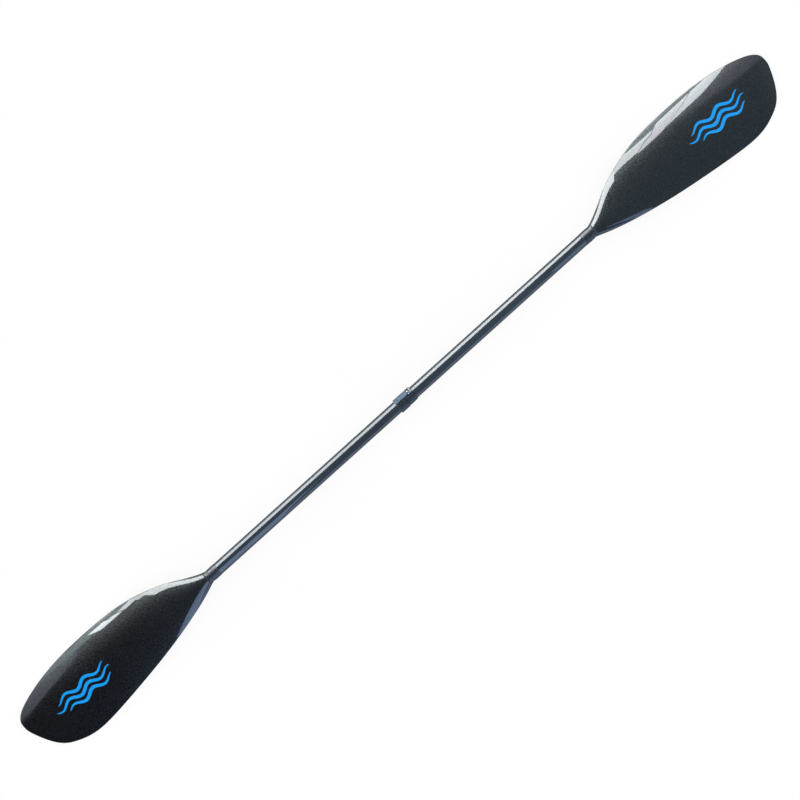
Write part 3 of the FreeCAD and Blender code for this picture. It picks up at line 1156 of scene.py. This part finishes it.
@dataclass
class Studio:
    """White floor and surround, a dim overhead for reflections, window panels and the overhead camera.

    Attributes:
        height: the shaft axis's height.
        distance, lean_deg: the camera's distance from the shaft, and its lean along it.
        roll_deg: the shaft's rise across the picture.
        frame_width, view_shift: width of the view, and its middle right of and above the shaft's.
        sensor: the camera's film width, in millimetres.
        floor_size: half the floor's width.
        floor_glow: the floor's own brightness, to the eye and in reflections.
        wall: distance of the windows from the shaft.
        strip_place, strip_size, strip_height: where the floor strips lie and how large they are.
    """

    height: float
    distance: float = 6.0
    lean_deg: float = 2.06
    roll_deg: float = 42.03
    frame_width: float = 1.7186
    view_shift: tuple[float, float] = (0.00006, 0.01027)
    sensor: float = 36.0
    floor_size: float = 14.0
    floor_glow: tuple[float, float] = (0.90, 0.30)
    wall: float = 1.6
    strip_place: float = 0.34
    strip_size: tuple[float, float] = (2.6, 0.40)
    strip_height: float = 2.0 * MM

    WHITE = (1.0, 1.0, 1.0, 1.0)
    HORIZON_LOWER = (1.2, 1.8, 2.9, 1.0)
    HORIZON_UPPER = (2.0, 2.6, 2.7, 1.0)
    OVERHEAD_LEFT = (0.008, 0.008, 0.03, 1.0)
    OVERHEAD_RIGHT = (0.30, 0.43, 0.52, 1.0)
    BRIGHT_SKY = (1.0, 1.12, 1.35, 1.0)
    SKY_SLANT = 0.208
    COOL = (0.93, 0.98, 1.0)
    LILAC = (0.96, 0.95, 1.0)
    SKY_BLUE = (0.62, 0.86, 1.35)

    def build_floor(self) -> None:
        """White floor that glows by itself, so that shadows on it stay faint."""
        corners = ((-1, -1), (1, -1), (1, 1), (-1, 1))
        points = [(x * self.floor_size, y * self.floor_size, 0.0) for x, y in corners]
        material, sheet, shader, place = start_material("white_floor")
        mottle = sheet.noise(place, 3.0, 4.0)
        path = sheet.add("ShaderNodeLightPath")
        sheet.wire(shader, {
            "Base Color": sheet.blend(mottle, (0.09, 0.09, 0.09, 1.0), (0.11, 0.11, 0.11, 1.0)),
            "Emission Color": self.WHITE,
            "Emission Strength": sheet.ramp(path.outputs["Is Glossy Ray"], 0.0, 1.0, *self.floor_glow),
            "Roughness": 1.0,
            "Specular IOR Level": 0.0,
        })
        floor = make_object("studio_floor", points, [(0, 1, 2, 3)], material)

    def build_world(self) -> None:
        """White all round for the floor; for reflections, a dim overhead and a coloured horizon."""
        world = bpy.data.worlds.new("studio_world")
        bpy.context.scene.world = world
        world.use_nodes = True
        sheet = NodeSheet(world.node_tree)
        direction = sheet.add("ShaderNodeTexCoord").outputs["Generated"]
        axes = sheet.add("ShaderNodeSeparateXYZ")
        sheet.feed(axes.inputs[0], direction)
        along, toward_edge, upward = axes.outputs[0], axes.outputs[1], axes.outputs[2]
        horizon = sheet.ramp(upward, 0.36, 0.14)
        tint = sheet.blend(sheet.ramp(toward_edge, -0.3, 0.4), self.HORIZON_LOWER, self.HORIZON_UPPER)
        overhead = sheet.blend(sheet.ramp(along, -0.32, 0.10), self.OVERHEAD_LEFT, self.OVERHEAD_RIGHT)
        slant = sheet.maths("MULTIPLY", toward_edge, self.SKY_SLANT)
        left_reach = sheet.ramp(sheet.maths("SUBTRACT", along, slant), -0.450, -0.468)
        left_sky = sheet.maths("MULTIPLY", left_reach, sheet.ramp(toward_edge, 0.05, 0.36))
        right_reach = sheet.ramp(sheet.maths("ADD", along, slant), 0.330, 0.375)
        right_sky = sheet.maths("MULTIPLY", right_reach, sheet.ramp(toward_edge, 0.0, 0.2))
        tip_sky = sheet.ramp(along, 0.34, 0.42, 0.0, 0.25)
        bright = sheet.maths("MAXIMUM", sheet.maths("MAXIMUM", left_sky, right_sky), tip_sky)
        lifted = sheet.blend(bright, overhead, self.BRIGHT_SKY)
        seen = sheet.blend(horizon, lifted, tint)
        path = sheet.add("ShaderNodeLightPath")
        colour = sheet.blend(path.outputs["Is Glossy Ray"], self.WHITE, seen)
        back = sheet.add("ShaderNodeBackground")
        back.inputs["Strength"].default_value = 1.0
        sheet.feed(back.inputs["Color"], colour)
        out = sheet.add("ShaderNodeOutputWorld")
        sheet.feed(out.inputs["Surface"], back.outputs[0])

    def window(self, name: str, span: tuple[float, float], tilt: tuple[float, float], radiance: float,
               colour: Tint) -> Panel:
        """Upright panel beyond the rolled edges.

        Args:
            name: the panel's name.
            span: where it starts and ends along X.
            tilt: angles from straight up of its top and bottom, seen from the shaft.
            radiance: brightness of its face.
            colour: its tint.

        Returns:
            The panel.
        """
        top, bottom = (self.height + self.wall / math.tan(math.radians(angle)) for angle in tilt)
        middle = ((span[0] + span[1]) / 2.0, self.wall, (top + bottom) / 2.0)
        facing = (middle[0], 0.0, middle[2])
        return Panel(name, middle, facing, (span[1] - span[0], top - bottom), radiance, colour)

    def build_panels(self) -> None:
        """Hang the windows, the two lower panes and the two glowing floor strips."""
        for name, span, tilt, radiance, colour in (
            ("shaft_window_left", (-0.88, 0.0), (38.5, 82.0), 13.5, self.COOL),
            ("shaft_window_right", (0.0, 0.64), (38.5, 82.0), 16.0, self.COOL),
            ("right_pane_near", (0.64, 1.02), (53.0, 80.0), 12.0, self.COOL),
            ("right_pane_middle", (1.03, 1.205), (49.0, 87.0), 11.0, self.LILAC),
            ("right_pane_far", (1.213, 1.44), (51.5, 87.0), 12.0, self.COOL),
            ("left_pane_near", (-0.98, -0.88), (60.0, 77.0), 11.0, self.COOL),
            ("left_pane_middle", (-1.09, -0.98), (68.0, 82.0), 11.0, self.COOL),
            ("left_pane_far", (-1.19, -1.10), (71.0, 89.0), 14.0, self.COOL),
        ):
            self.window(name, span, tilt, radiance, colour).build()
        for name, x, z, size, radiance in (
            ("left_lower_pane", -0.745, 1.95, (0.50, 3.2), 2.8),
            ("right_lower_pane", 0.65, 1.05, (0.30, 1.2), 2.0),
        ):
            Panel(name, (x, -self.wall, z), (x, 0.0, z), size, radiance, self.SKY_BLUE).build()
        for name, y, radiance, colour in (
            ("upper_floor_strip", self.strip_place, 3.2, (0.85, 1.0, 1.05)),
            ("lower_floor_strip", -self.strip_place, 1.4, (0.65, 0.90, 1.5)),
        ):
            middle = (0.0, y, self.strip_height)
            Panel(name, middle, (0.0, y, 1.0), self.strip_size, radiance, colour).build()

    def build_camera(self) -> None:
        """Camera over the paddle with the shaft rising to the upper right."""
        target = Vector((0.0, 0.0, self.height))
        lean = math.radians(self.lean_deg)
        back = Vector((math.sin(lean), 0.0, math.cos(lean)))
        camera = bpy.data.cameras.new("studio_camera")
        camera.sensor_width = self.sensor
        camera.lens = self.sensor * self.distance / self.frame_width
        camera.clip_end = 100.0
        holder = bpy.data.objects.new("studio_camera", camera)
        bpy.context.scene.collection.objects.link(holder)
        roll = math.radians(self.roll_deg)
        along = Vector((math.cos(lean), 0.0, -math.sin(lean)))
        edgeways = Vector((0.0, 1.0, 0.0))
        right = along * math.cos(roll) - edgeways * math.sin(roll)
        up = along * math.sin(roll) + edgeways * math.cos(roll)
        centre = target + right * self.view_shift[0] + up * self.view_shift[1]
        turn = Matrix((right, up, back)).transposed().to_4x4()
        turn.translation = centre + back * self.distance
        holder.matrix_world = turn
        bpy.context.scene.camera = holder

    def build(self) -> None:
        """Set the whole studio up."""
        bpy.context.scene.view_settings.view_transform = "Standard"
        self.build_floor()
        self.build_world()
        self.build_camera()
        self.build_panels()


def main() -> None:
    """Build the paddle and its studio in order."""
    logging.basicConfig(level=logging.INFO, format="%(name)s: %(message)s")
    finishes = Wardrobe()
    form = BladeForm()
    for side in Side:
        Blade(side, form, finishes).build()
    Shaft(finishes).build()
    LeverCollar(finishes).build()
    Studio(form.axis).build()


if __name__ == "__main__":
    main()
